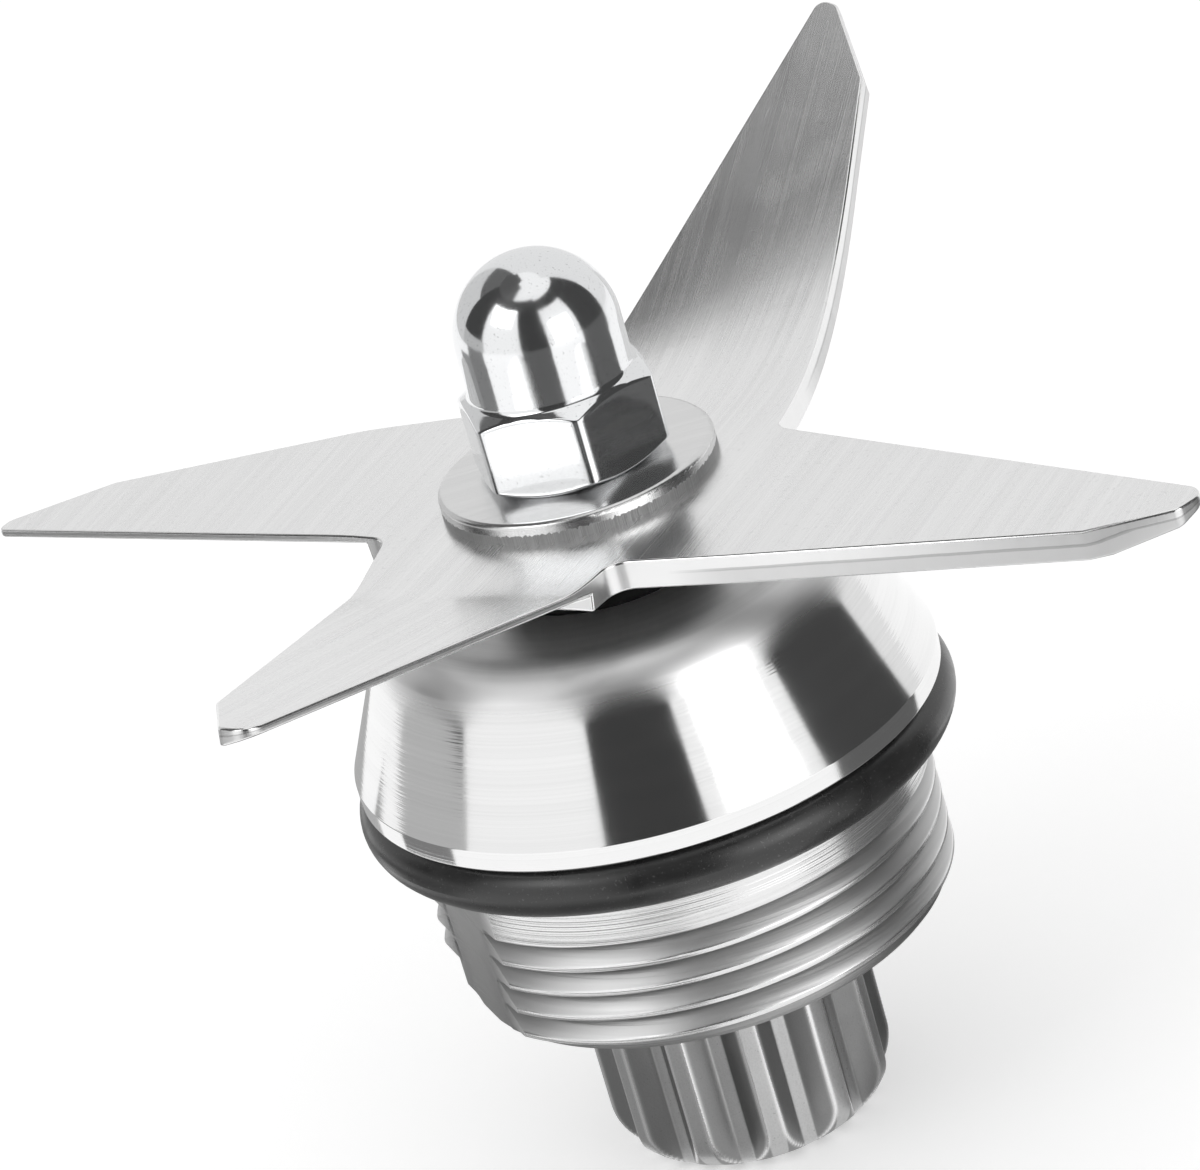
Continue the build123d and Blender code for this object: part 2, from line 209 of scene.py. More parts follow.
def calculate(tree, operation, first, second=0.0, third=0.0):
    """The result of one sum on numbers or sockets."""
    return node(tree, "ShaderNodeMath", {0: first, 1: second, 2: third}, operation=operation).outputs[0]


def average(tree, first, second):
    """The mean of two values."""
    return calculate(tree, "MULTIPLY", calculate(tree, "ADD", first, second), half)


def faded(tree, mask, strength):
    """A mask made weaker."""
    return calculate(tree, "MULTIPLY", mask, strength)


def raised(tree, value, mask, amount):
    """A value raised by an amount where a mask says so."""
    return calculate(tree, "MULTIPLY_ADD", mask, amount, value)


def between(tree, value, low, high, start=0.0, end=1.0):
    """A value spread from the range start to end onto the range low to high."""
    inputs = {"Value": value, "From Min": start, "From Max": end, "To Min": low, "To Max": high}
    return node(tree, "ShaderNodeMapRange", inputs).outputs["Result"]


def share_of(tree, value, start, end):
    """How far a value lies from a start to an end, 0 to 1."""
    return between(tree, value, 0.0, 1.0, start, end)


# Places of the mix node's sockets that serve colours
mix_share = 0
mix_first_colour = 6
mix_second_colour = 7
mixed_colour = 2


def tone(tree, share, dark, light):
    """A grey or tint between two colours."""
    inputs = {mix_share: share, mix_first_colour: dark, mix_second_colour: light}
    return node(tree, "ShaderNodeMix", inputs, data_type="RGBA").outputs[mixed_colour]


def grey(level, warmth=0.0):
    """A grey colour, slightly warm above zero and slightly cold below."""
    return (level * (1 + warmth), level, level * (1 - warmth), 1.0)


white = grey(1.0)


def noise(tree, place, scale, detail, distortion=0.0):
    """A noise pattern over a place."""
    inputs = {"Vector": place, "Scale": scale, "Detail": detail, "Distortion": distortion}
    return node(tree, "ShaderNodeTexNoise", inputs).outputs[0]


def noise_along(tree, position, detail):
    """A noise pattern along one number."""
    inputs = {"W": position, "Scale": 1.0, "Detail": detail}
    return node(tree, "ShaderNodeTexNoise", inputs, noise_dimensions="1D").outputs[0]


def new_group(name, inputs, outputs):
    """An empty shader node group with number sockets, its input node and its output node."""
    tree = bpy.data.node_groups.new(name, "ShaderNodeTree")
    for title, value in inputs.items():
        socket = tree.interface.new_socket(title, in_out="INPUT", socket_type="NodeSocketFloat")
        socket.default_value = value
    for title in outputs:
        tree.interface.new_socket(title, in_out="OUTPUT", socket_type="NodeSocketFloat")
    return tree, tree.nodes.new("NodeGroupInput"), tree.nodes.new("NodeGroupOutput")


def part_position(tree):
    """Sockets for the place on the part: the vector, its X, Y and Z, and the distance from the axis."""
    place = node(tree, "ShaderNodeTexCoord").outputs["Object"]
    split = node(tree, "ShaderNodeSeparateXYZ", {0: place})
    across = calculate(tree, "MULTIPLY", split.outputs[0], split.outputs[0])
    across = calculate(tree, "MULTIPLY_ADD", split.outputs[1], split.outputs[1], across)
    radius = calculate(tree, "SQRT", across)
    return place, split.outputs[0], split.outputs[1], split.outputs[2], radius


# Shared effects: how rings and grain are made up, and which part of the noise is a mark
pattern_dark = 0.3
pattern_light = 0.7
ring_detail = 2.0
wide_ring_ratio = 7.0
wide_ring_detail = 1.0
fine_grain_scale = 1.0
fine_grain_detail = 3.0
broad_grain_scale = 0.14
broad_grain_detail = 2.0
smudge_detail = 4.0
smudge_distortion = 0.6
smudge_start = 0.35
smudge_full = 0.7
speck_detail = 1.0
speck_start = 0.66
speck_full = 0.74


def lathe_rings_group():
    """Fine rings left by a turning tool, round the shaft's axis."""
    tree, given, result = new_group(
        "lathe rings", {"Spacing": 0.1 * mm, "Unevenness": 1.0}, ("Height", "Shade")
    )
    _, _, _, height, radius = part_position(tree)
    along = calculate(tree, "ADD", height, radius)
    spacing = given.outputs["Spacing"]
    wide_spacing = calculate(tree, "MULTIPLY", spacing, wide_ring_ratio)
    fine = noise_along(tree, calculate(tree, "DIVIDE", along, spacing), ring_detail)
    wide = noise_along(tree, calculate(tree, "DIVIDE", along, wide_spacing), wide_ring_detail)
    uneven = calculate(tree, "MULTIPLY", wide, given.outputs["Unevenness"])
    tree.links.new(fine, result.inputs["Height"])
    tree.links.new(average(tree, fine, uneven), result.inputs["Shade"])
    return tree


def brushed_grain_group():
    """Straight grain of a brushed or rolled sheet."""
    tree, given, result = new_group(
        "brushed grain",
        {"Direction": 0.0, "Line Width": 0.07 * mm, "Line Length": 14.0 * mm},
        ("Height", "Shade"),
    )
    turned = node(
        tree,
        "ShaderNodeVectorRotate",
        {"Vector": part_position(tree)[0], "Angle": given.outputs["Direction"]},
        rotation_type="Z_AXIS",
    )
    width = given.outputs["Line Width"]
    length = given.outputs["Line Length"]
    cell = node(tree, "ShaderNodeCombineXYZ", {0: length, 1: width, 2: length})
    cells = {0: turned.outputs[0], 1: cell.outputs[0]}
    scaled = node(tree, "ShaderNodeVectorMath", cells, operation="DIVIDE").outputs[0]
    fine = noise(tree, scaled, fine_grain_scale, fine_grain_detail)
    broad = noise(tree, scaled, broad_grain_scale, broad_grain_detail)
    tree.links.new(fine, result.inputs["Height"])
    tree.links.new(average(tree, fine, broad), result.inputs["Shade"])
    return tree


def handling_marks_group():
    """Faint smudges and small specks left by handling."""
    tree, given, result = new_group(
        "handling marks", {"Smudge Size": 4.0 * mm, "Speck Size": 0.3 * mm}, ("Smudge", "Speck")
    )
    place = part_position(tree)[0]
    smudge_scale = calculate(tree, "DIVIDE", 1.0, given.outputs["Smudge Size"])
    smudge = noise(tree, place, smudge_scale, smudge_detail, smudge_distortion)
    speck_scale = calculate(tree, "DIVIDE", 1.0, given.outputs["Speck Size"])
    speck = noise(tree, place, speck_scale, speck_detail)
    tree.links.new(share_of(tree, smudge, smudge_start, smudge_full), result.inputs["Smudge"])
    tree.links.new(share_of(tree, speck, speck_start, speck_full), result.inputs["Speck"])
    return tree


lathe_rings = lathe_rings_group()
brushed_grain = brushed_grain_group()
handling_marks = handling_marks_group()


def use_group(tree, group, **values):
    """One of the shared effects placed in a material, with its own values."""
    placed = node(tree, "ShaderNodeGroup", node_tree=group)
    for title, value in values.items():
        placed.inputs[title.replace("_", " ").title()].default_value = value
    return placed.outputs


metal = 1.0
not_metal = 0.0


def new_material(name, metallic):
    """A material with one shader, its metallic share set on the shader itself."""
    material = bpy.data.materials.new(name)
    material.use_nodes = True
    tree = material.node_tree
    shader = tree.nodes["Principled BSDF"]
    shader.inputs["Metallic"].default_value = metallic
    return material, tree, shader


def wire(tree, shader, colour, roughness, height, strength, distance):
    """Colour, roughness and relief linked to the shader."""
    tree.links.new(colour, shader.inputs["Base Color"])
    tree.links.new(roughness, shader.inputs["Roughness"])
    bump = node(tree, "ShaderNodeBump", {"Strength": strength, "Distance": distance, "Height": height})
    tree.links.new(bump.outputs[0], shader.inputs["Normal"])


def mark(tree, title):
    """A mask of the faces or points that carry a mark."""
    return node(tree, "ShaderNodeAttribute", attribute_name=title).outputs["Fac"]


def pattern_share(tree, shade):
    """The shade of a grain or of rings, with more contrast."""
    return share_of(tree, shade, pattern_dark, pattern_light)


# Pressed sheet: specks and smudges on its faces, and its sheared edges with their torn band
sheet_speck_share = 0.12
sheet_speck_tone = grey(0.25)
sheet_smudge_dulling = 0.03
sheared_tone = grey(0.86)
sheared_dulling = 0.06
tear_start_radius = 14.5 * mm
tear_full_radius = 17.0 * mm
tear_size = 1.5 * mm
tear_detail = 3.0
tear_line_low = 0.51
tear_line_high = 0.55
torn_tone = grey(0.76)
torn_dulling = 0.14
seam_tone = grey(0.58)
seam_half_width = 0.05
eased_edge_dulling = -0.1


def brushed_steel(name, direction, dark, light, smooth, rough):
    """Sheet steel with a straight grain and faint smudges, duller where it was sheared and torn."""
    material, tree, shader = new_material(name, metal)
    grain = use_group(tree, brushed_grain, direction=direction)
    marks = use_group(tree, handling_marks, smudge_size=5.0 * mm, speck_size=0.25 * mm)
    share = pattern_share(tree, grain["Shade"])
    colour = tone(tree, share, grey(dark), grey(light))
    colour = tone(tree, faded(tree, marks["Speck"], sheet_speck_share), colour, sheet_speck_tone)
    roughness = between(tree, share, rough, smooth)
    roughness = raised(tree, roughness, marks["Smudge"], sheet_smudge_dulling)
    sheared = mark(tree, "sheared_edge")
    colour = tone(tree, sheared, colour, sheared_tone)
    roughness = raised(tree, roughness, sheared, sheared_dulling)

    # Below a ragged line, the sheared edge is torn, except in the roots of the arms
    depth = mark(tree, "plate_depth")
    place, _, _, _, radius = part_position(tree)
    tearing = share_of(tree, radius, tear_start_radius, tear_full_radius)
    tearing = calculate(tree, "MULTIPLY", tearing, sheared)
    ragged = noise(tree, place, 1 / tear_size, tear_detail)
    tear_line = between(tree, ragged, tear_line_low, tear_line_high)
    torn = calculate(tree, "MULTIPLY", calculate(tree, "LESS_THAN", depth, tear_line), tearing)
    colour = tone(tree, torn, colour, torn_tone)
    roughness = raised(tree, roughness, torn, torn_dulling)
    seam = calculate(tree, "COMPARE", depth, tear_line, seam_half_width)
    seam = calculate(tree, "MULTIPLY", seam, tearing)
    colour = tone(tree, seam, colour, seam_tone)
    roughness = raised(tree, roughness, mark(tree, "worn_edge"), eased_edge_dulling)
    wire(tree, shader, colour, roughness, grain["Height"], strength=0.35, distance=0.014 * mm)
    return material


turned_smudge_dulling = 0.05


def turned_steel(name, spacing, dark, light, smooth, rough, relief):
    """Steel with the rings of a turning tool."""
    material, tree, shader = new_material(name, metal)
    rings = use_group(tree, lathe_rings, spacing=spacing)
    marks = use_group(tree, handling_marks, smudge_size=6.0 * mm, speck_size=0.2 * mm)
    share = pattern_share(tree, rings["Shade"])
    colour = tone(tree, share, grey(dark), grey(light))
    roughness = between(tree, share, rough, smooth)
    roughness = raised(tree, roughness, marks["Smudge"], turned_smudge_dulling)
    wire(tree, shader, colour, roughness, rings["Height"], strength=0.3, distance=relief)
    return material


# Housing: polished above, left as cut below, with painted shade in the thread's roots, and its crest and
# collar lit up, partly rubbed and partly painted highlight
polish_dark = grey(0.82)
polish_light = grey(0.88)
polish_roughness = 0.08
polish_relief = 0.1
cut_dark = grey(0.6)
cut_light = grey(0.8)
cut_roughness = 0.4
cut_relief = 0.7
thread_root_painted_shade = grey(0.36)
rubbed_and_highlight_tone = grey(0.92)
rubbed_and_highlight_share = 0.5
rubbed_roughness = 0.2
satin_bottom = housing_top - shoulder_radius
satin_full = housing_top - shoulder_radius / 3
satin_dulling = 0.34


def housing_finish(name):
    """Turned steel: satin on the shoulder, polished on the cone and lip, left as cut below them, with
    painted shade in the thread's roots and a partly painted highlight on its crest and collar.
    """
    material, tree, shader = new_material(name, metal)
    _, _, _, height, radius = part_position(tree)
    as_cut = calculate(tree, "LESS_THAN", height, lip_bottom)
    root_shade_fade = share_of(tree, radius, thread_root_radius, thread_crest_radius)
    rubbed = share_of(tree, radius, thread_crest_radius - crest_rounding, thread_crest_radius)
    fine = use_group(tree, lathe_rings, spacing=0.1 * mm)
    coarse = use_group(tree, lathe_rings, spacing=0.22 * mm)
    marks = use_group(tree, handling_marks, smudge_size=6.0 * mm, speck_size=0.2 * mm)
    polish = tone(tree, pattern_share(tree, fine["Shade"]), polish_dark, polish_light)
    cut = tone(tree, pattern_share(tree, coarse["Shade"]), cut_dark, cut_light)
    # Painted shade: the thread is darkened from its crest down into its roots
    cut = tone(tree, root_shade_fade, thread_root_painted_shade, cut)
    # Crest and collar lifted in colour: partly rubbing and partly a painted highlight
    cut = tone(tree, faded(tree, rubbed, rubbed_and_highlight_share), cut, rubbed_and_highlight_tone)
    colour = tone(tree, as_cut, polish, cut)
    below = between(tree, rubbed, cut_roughness, rubbed_roughness)
    roughness = between(tree, as_cut, polish_roughness, below)
    satin = share_of(tree, height, satin_bottom, satin_full)
    roughness = raised(tree, roughness, satin, satin_dulling)
    roughness = raised(tree, roughness, marks["Smudge"], turned_smudge_dulling)
    relief = calculate(tree, "MULTIPLY", fine["Height"], between(tree, as_cut, polish_relief, cut_relief))
    relief = calculate(tree, "MULTIPLY_ADD", coarse["Height"], as_cut, relief)
    wire(tree, shader, colour, roughness, relief, strength=1.0, distance=0.03 * mm)
    return material


# Washer: brushed faces, and on the rim a torn band under a burnished one
washer_dark = grey(0.66)
washer_light = grey(0.84)
washer_roughness = 0.22
washer_relief = 0.15
rim_tear_dark = grey(0.16)
rim_tear_light = grey(0.6)
rim_tear_roughness = 0.46
rim_tear_relief = 1.0
rim_tear_low = 0.3
rim_tear_high = 0.62
rim_tears_per_radian = 40.0
rim_tear_detail = 3.0
rim_scores_per_radian = 160.0
rim_score_detail = 2.0


def punched_steel(name):
    """Steel punched from sheet: brushed on its faces, with a burnished band over a torn band on its rim."""
    material, tree, shader = new_material(name, metal)
    _, x, y, height, radius = part_position(tree)
    grain = use_group(tree, brushed_grain, direction=0.0)
    azimuth = calculate(tree, "ARCTAN2", y, x)
    along_tears = calculate(tree, "MULTIPLY", azimuth, rim_tears_per_radian)
    ragged = noise_along(tree, along_tears, rim_tear_detail)
    along_scores = calculate(tree, "MULTIPLY", azimuth, rim_scores_per_radian)
    scored = noise_along(tree, along_scores, rim_score_detail)
    climb = share_of(tree, height, washer_bottom, washer_bottom + washer_thickness)
    torn = calculate(tree, "LESS_THAN", climb, between(tree, ragged, rim_tear_low, rim_tear_high))
    rim = calculate(tree, "GREATER_THAN", radius, washer_rim_radius)
    torn = calculate(tree, "MULTIPLY", torn, rim)
    face = tone(tree, grain["Shade"], washer_dark, washer_light)
    tear = tone(tree, scored, rim_tear_dark, rim_tear_light)
    colour = tone(tree, torn, face, tear)
    roughness = between(tree, torn, washer_roughness, rim_tear_roughness)
    relief = calculate(tree, "MULTIPLY", scored, between(tree, torn, washer_relief, rim_tear_relief))
    wire(tree, shader, colour, roughness, relief, strength=0.5, distance=0.05 * mm)
    return material


# Bright plating
plate_tone = grey(0.86, -0.01)
plate_smooth = 0.08
plate_rough = 0.15
plate_speck_tone = grey(0.3)
plate_speck_share = 0.4


def plated_chrome(name):
    """Bright plating with tiny specks and a faint waviness."""
    material, tree, shader = new_material(name, metal)
    marks = use_group(tree, handling_marks, smudge_size=2.5 * mm, speck_size=0.16 * mm)
    colour = tone(tree, faded(tree, marks["Speck"], plate_speck_share), plate_tone, plate_speck_tone)
    roughness = between(tree, marks["Smudge"], plate_smooth, plate_rough)
    wire(tree, shader, colour, roughness, marks["Smudge"], strength=0.12, distance=0.02 * mm)
    return material


# Pressed powder: painted shade darkens the teeth's flanks, and the edges are lit up, partly as wear and
# partly as painted highlight
powder_size = 0.12 * mm
powder_detail = 3.0
powder_smooth = 0.34
powder_rough = 0.46
# The colour of the pits in the powder, also used for the painted shade on the teeth's flanks
pit_and_shade_tone = grey(0.2)
pit_share = 0.5
painted_flank_shade_share = 0.75
worn_edge_highlight_tone = grey(0.95)
bright_edge_dulling = -0.2


def sintered_steel(name, dark, light):
    """Dull pressed-powder steel with a fine grain, painted shade on the teeth's flanks, and its edges lit
    up, partly as wear and partly as painted highlight.
    """
    material, tree, shader = new_material(name, metal)
    marks = use_group(tree, handling_marks, smudge_size=3.0 * mm, speck_size=0.12 * mm)
    grains = noise(tree, part_position(tree)[0], 1 / powder_size, powder_detail)
    colour = tone(tree, grains, grey(dark), grey(light))
    colour = tone(tree, faded(tree, marks["Speck"], pit_share), colour, pit_and_shade_tone)
    # Painted shade: the flanks between the teeth are darkened, standing in for the shade that falls on them
    flank = faded(tree, mark(tree, "painted_flank_shade"), painted_flank_shade_share)
    colour = tone(tree, flank, colour, pit_and_shade_tone)
    # Edges brightened in colour: partly real wear and partly a painted highlight
    worn = mark(tree, "worn_edge")
    colour = tone(tree, worn, colour, worn_edge_highlight_tone)
    roughness = between(tree, marks["Smudge"], powder_smooth, powder_rough)
    roughness = raised(tree, roughness, worn, bright_edge_dulling)
    wire(tree, shader, colour, roughness, grains, strength=0.35, distance=0.03 * mm)
    return material


# Moulded rubber
rubber_mottle_ratio = 1.6
rubber_speck_tone = grey(0.2)
rubber_speck_share = 0.25


def moulded_rubber(name, level, smooth, rough, gloss):
    """Black moulded rubber with a faint mottle."""
    material, tree, shader = new_material(name, not_metal)
    marks = use_group(tree, handling_marks, smudge_size=3.0 * mm, speck_size=0.15 * mm)
    colour = tone(tree, marks["Smudge"], grey(level), grey(level * rubber_mottle_ratio))
    colour = tone(tree, faded(tree, marks["Speck"], rubber_speck_share), colour, rubber_speck_tone)
    roughness = between(tree, marks["Smudge"], smooth, rough)
    shader.inputs["Specular IOR Level"].default_value = gloss
    wire(tree, shader, colour, roughness, marks["Speck"], strength=0.1, distance=0.01 * mm)
    return material


finishes = {
    "blade_steel": brushed_steel(
        "brushed blade steel", direction=radians(-58), dark=0.83, light=0.92, smooth=0.2, rough=0.29
    ),
    "nut_chrome": plated_chrome("chrome plate"),
    "washer_steel": punched_steel("punched washer steel"),
    "housing_steel": housing_finish("turned housing steel"),
    "ring_rubber": moulded_rubber("ring rubber", level=0.012, smooth=0.24, rough=0.34, gloss=0.7),
    "seal_rubber": moulded_rubber("seal rubber", level=0.006, smooth=0.45, rough=0.6, gloss=0.15),
    "spline_steel": sintered_steel("sintered spline steel", dark=0.46, light=0.68),
    "shaft_steel": turned_steel(
        "shaft steel",
        spacing=0.06 * mm,
        dark=0.6,
        light=0.8,
        smooth=0.15,
        rough=0.28,
        relief=0.005 * mm,
    ),
    "clip_steel": sintered_steel("phosphated clip steel", dark=0.1, light=0.2),
    "bearing_steel": turned_steel(
        "bearing steel",
        spacing=0.03 * mm,
        dark=0.62,
        light=0.78,
        smooth=0.08,
        rough=0.16,
        relief=0.003 * mm,
    ),
    "ball_steel": plated_chrome("polished ball steel"),
    "cage_steel": brushed_steel(
        "pressed cage steel", direction=0.0, dark=0.5, light=0.72, smooth=0.24, rough=0.38
    ),
    "shield_steel": brushed_steel(
        "pressed shield steel", direction=0.0, dark=0.55, light=0.76, smooth=0.22, rough=0.34
    ),
}


def link_piece(name, mesh):
    """A new object at the origin that shows a mesh."""
    piece = bpy.data.objects.new(name, mesh)
    bpy.context.scene.collection.objects.link(piece)
    return piece


def bake_modifiers(piece):
    """Turn a piece with modifiers into a plain mesh."""
    evaluated = piece.evaluated_get(bpy.context.evaluated_depsgraph_get())
    mesh = bpy.data.meshes.new_from_object(evaluated)
    piece.modifiers.clear()
    piece.data = mesh


def shade_by_angle(mesh):
    """Smooth shading with crisp edges where faces meet sharply."""
    mesh.shade_smooth()
    mesh.set_sharp_from_angle(angle=sharp_angle)


def stand_for(piece, node_name, body, slot):
    """Finish a piece that takes the place of a CAD node."""
    piece.data.materials.clear()
    piece.data.materials.append(finishes[slot])
    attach(piece, body)
    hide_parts(node_name)


def mark_faces(mesh, title, chosen):
    """Store on each face whether it is one of the chosen faces."""
    marks = mesh.attributes.new(title, "FLOAT", "FACE")
    marks.data.foreach_set("value", [float(chosen(face)) for face in mesh.polygons])


def eased_copy(node_name, width):
    """A merged copy of a CAD node with its sharp edges eased."""
    work = bmesh.new()
    work.from_mesh(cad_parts[node_name].data)
    bmesh.ops.remove_doubles(work, verts=work.verts, dist=merge_distance)
    bmesh.ops.dissolve_limit(work, angle_limit=coplanar_angle, verts=work.verts, edges=work.edges)
    bmesh.ops.remove_doubles(work, verts=work.verts, dist=short_edge)
    depth = work.verts.layers.float.new("plate_depth")
    for vertex in work.verts:
        vertex[depth] = float(any(face.normal.z > top_face_rise for face in vertex.link_faces))
    mesh = bpy.data.meshes.new(f"eased_{node_name}")
    work.to_mesh(mesh)
    work.free()
    if "custom_normal" in mesh.attributes:
        mesh.attributes.remove(mesh.attributes["custom_normal"])
    shade_by_angle(mesh)
    for _ in (face_slot, eased_slot):
        mesh.materials.append(None)
    piece = link_piece(f"eased_{node_name}", mesh)
    bevel = piece.modifiers.new("eased edges", "BEVEL")
    bevel.width = width
    bevel.segments = ease_segments
    bevel.limit_method = "ANGLE"
    bevel.angle_limit = sharp_angle
    bevel.harden_normals = True
    bevel.use_clamp_overlap = False
    bevel.material = eased_slot
    bake_modifiers(piece)
    mark_faces(piece.data, "worn_edge", lambda face: face.material_index == eased_slot)
    mark_faces(piece.data, "sheared_edge", lambda face: abs(face.normal.z) < edge_face_rise)
    for face in piece.data.polygons:
        face.material_index = face_slot
    return piece


def eased_profile(corners):
    """A closed section with some corners rounded. Each corner is its radius, height and rounding."""
    points = []
    count = len(corners)
    for index, (radius, height, rounding) in enumerate(corners):
        here = Vector((radius, height))
        if rounding == 0:
            points.append(here)
            continue
        before = (Vector(corners[index - 1][:2]) - here).normalized()
        after = (Vector(corners[(index + 1) % count][:2]) - here).normalized()
        half_angle = before.angle(after) / 2
        reach = rounding / tan(half_angle)
        centre = here + (before + after).normalized() * (rounding / sin(half_angle))
        start = here + before * reach - centre
        end = here + after * reach - centre
        steps = max(corner_steps, round(rounding / corner_step_length))
        for step in range(steps + 1):
            spoke = start.lerp(end, step / steps).normalized()
            points.append(centre + spoke * rounding)
    return points


def divided_side(start, end, rows):
    """Corners along a straight side, from its start to just before its end, without rounding."""
    corners = []
    for row in range(rows):
        radius, height = (a + (b - a) * row / rows for a, b in zip(start, end))
        corners.append((radius, height, 0))
    return corners


def merge_close(mesh):
    """Merge the points of a mesh that lie on each other."""
    work = bmesh.new()
    work.from_mesh(mesh)
    bmesh.ops.remove_doubles(work, verts=work.verts, dist=merge_distance)
    work.to_mesh(mesh)
    work.free()


def turned_ring(name, points, steps):
    """A closed section turned round the shaft's axis, with its points on the axis merged."""
    mesh = bpy.data.meshes.new(name)
    vertices = []
    for step in range(steps):
        angle = full_turn * step / steps
        vertices += [(p.x * cos(angle), p.x * sin(angle), p.y) for p in points]
    count = len(points)
    faces = []
    for step in range(steps):
        here = step * count
        there = (step + 1) % steps * count
        for index in range(count):
            after = (index + 1) % count
            faces.append((here + index, there + index, there + after, here + after))
    mesh.from_pydata(vertices, [], faces)
    merge_close(mesh)
    return mesh


def soft_least(lengths, softness):
    """The least of some lengths, rounded off where they are nearly equal."""
    least = min(lengths)
    return least - softness * log(sum(exp((least - length) / softness) for length in lengths))


def cut_back(mesh, reach_at, softness):
    """Cut a turned blank back to a reach that depends on the angle, and mark the edges that this leaves."""
    marks = mesh.attributes.new("worn_edge", "FLOAT", "POINT")
    for vertex in mesh.vertices:
        radius = hypot(vertex.co.x, vertex.co.y)
        if radius < merge_distance:
            continue
        reach = reach_at(atan2(vertex.co.y, vertex.co.x))
        share = soft_least((radius, reach), softness) / radius
        vertex.co.x *= share
        vertex.co.y *= share
        marks.data[vertex.index].value = exp(-(((radius - reach) / rubbed_width) ** 2))


def hexagon_reach(angle):
    """How far from the axis the nut's flats lie at an angle."""
    reaches = []
    for side in range(nut_sides):
        away = angle - nut_turn - full_turn * (side + half) / nut_sides
        if cos(away) > cos(widest_flat_angle):
            reaches.append(nut_half_across / cos(away))
    return soft_least(reaches, nut_softness)


def nut_mesh():
    """The cap nut: a chamfered bar with a dome over a blind hole, milled to a hexagon."""
    corner_radius = nut_half_across / cos(pi / nut_sides)
    slope = tan(nut_chamfer_angle)
    low = (corner_radius, nut_bottom + (corner_radius - nut_base_radius) * slope)
    high = (corner_radius, nut_hex_top - (corner_radius - nut_dome_radius) * slope)
    joint = (nut_dome_radius + nut_joint_radius, nut_hex_top - nut_joint_radius * slope)
    corners = [(nut_hole_radius, nut_bottom, 0)]
    corners += divided_side((nut_base_radius, nut_bottom), low, nut_chamfer_rows)
    corners += divided_side(low, high, nut_flat_rows)
    corners += divided_side(high, joint, nut_chamfer_rows)
    corners += [
        (nut_dome_radius, nut_hex_top, nut_joint_radius),
        (nut_dome_radius, nut_top, nut_dome_radius),
        (0, nut_top, 0),
        (0, nut_hole_top, 0),
        (nut_hole_radius, nut_hole_top, 0),
    ]
    mesh = turned_ring("domed_nut", eased_profile(corners), steps_around)
    cut_back(mesh, hexagon_reach, nut_softness)
    return mesh


def flank_climb(angle):
    """How far up a tooth's flank an angle lies: 0 at the floor, 1 at the land."""
    pitch = full_turn / spline_teeth
    away = abs((angle - spline_turn + pitch / 2) % pitch - pitch / 2)
    return (tooth_half_land + tooth_flank_angle - away) / tooth_flank_angle


def tooth_reach(angle):
    """How far from the axis the spline's flanks and floors lie at an angle."""
    flank = spline_root_radius + (spline_radius - spline_root_radius) * flank_climb(angle)
    return -soft_least((-flank, -spline_root_radius), spline_softness)


def spline_mesh():
    """The drive spline: a bar with a rounded foot and a hub above, cut to teeth."""
    corners = (
        (0, 0, 0),
        (spline_radius, 0, spline_end_radius),
        (spline_radius, spline_length, 0),
        (spline_hub_radius, spline_length, 0),
        (spline_hub_radius, spline_hub_top, 0),
        (spline_hole_radius, spline_hub_top, 0),
        (spline_hole_radius, spline_hole_floor, 0),
        (0, spline_hole_floor, 0),
    )
    mesh = turned_ring("toothed_spline", eased_profile(corners), spline_steps_around)
    cut_back(mesh, tooth_reach, spline_softness)
    # A mask of the teeth's flanks, for the painted shade that darkens them
    flank_shade_marks = mesh.attributes.new("painted_flank_shade", "FLOAT", "POINT")
    for vertex in mesh.vertices:
        climb = flank_climb(atan2(vertex.co.y, vertex.co.x))
        on_teeth = hypot(vertex.co.x, vertex.co.y) > spline_hub_radius
        flank_shade_marks.data[vertex.index].value = float(0 < climb < 1 and on_teeth)
    return mesh


def housing_mesh():
    """The housing without its thread ridge, with the flat milled down one side of the threaded core.

    The collar's lower edge climbs from one side of the flat to the other.
    """
    cone_top_radius = lip_radius - (housing_top - lip_top) * tan(cone_angle)
    corners = (
        (bore_radius + bore_chamfer, housing_bottom, 0),
        (thread_root_radius - bore_chamfer, housing_bottom, 0),
        (thread_root_radius, housing_bottom + bore_chamfer, 0),
        (thread_root_radius, collar_bottom - collar_step, 0),
        (thread_crest_radius, collar_bottom, crest_rounding),
        (thread_crest_radius, neck_bottom, neck_edge_radius),
        (neck_radius, neck_bottom, 0),
        (neck_radius, lip_bottom, 0),
        (lip_radius, lip_bottom, lip_edge_radius),
        (lip_radius, lip_top, lip_edge_radius),
        (cone_top_radius, housing_top, shoulder_radius),
        (seal_radius, housing_top, lip_edge_radius),
        (seal_radius, seal_seat, 0),
        (step_radius, seal_seat, 0),
        (step_radius, relief_top, 0),
        (relief_radius, relief_top, 0),
        (relief_radius, bearing_top, 0),
        (bore_radius, bearing_top, 0),
        (bore_radius, clip_groove_top, 0),
        (clip_groove_radius, clip_groove_top, 0),
        (clip_groove_radius, clip_groove_bottom, 0),
        (bore_radius, clip_groove_bottom, 0),
        (bore_radius, housing_bottom + bore_chamfer, 0),
    )
    mesh = turned_ring("threaded_housing", eased_profile(corners), steps_around)
    outward = Vector((cos(flat_azimuth), sin(flat_azimuth), 0))
    for vertex in mesh.vertices:
        if abs(vertex.co.z - collar_bottom) < collar_edge_reach:
            past_flat = (atan2(vertex.co.y, vertex.co.x) - flat_azimuth) % full_turn
            vertex.co.z += thread_pitch * past_flat / full_turn
        beyond = vertex.co.dot(outward) - flat_distance
        if beyond > 0 and vertex.co.z < neck_bottom + neck_edge_radius:
            vertex.co -= outward * beyond
    merge_close(mesh)
    return mesh


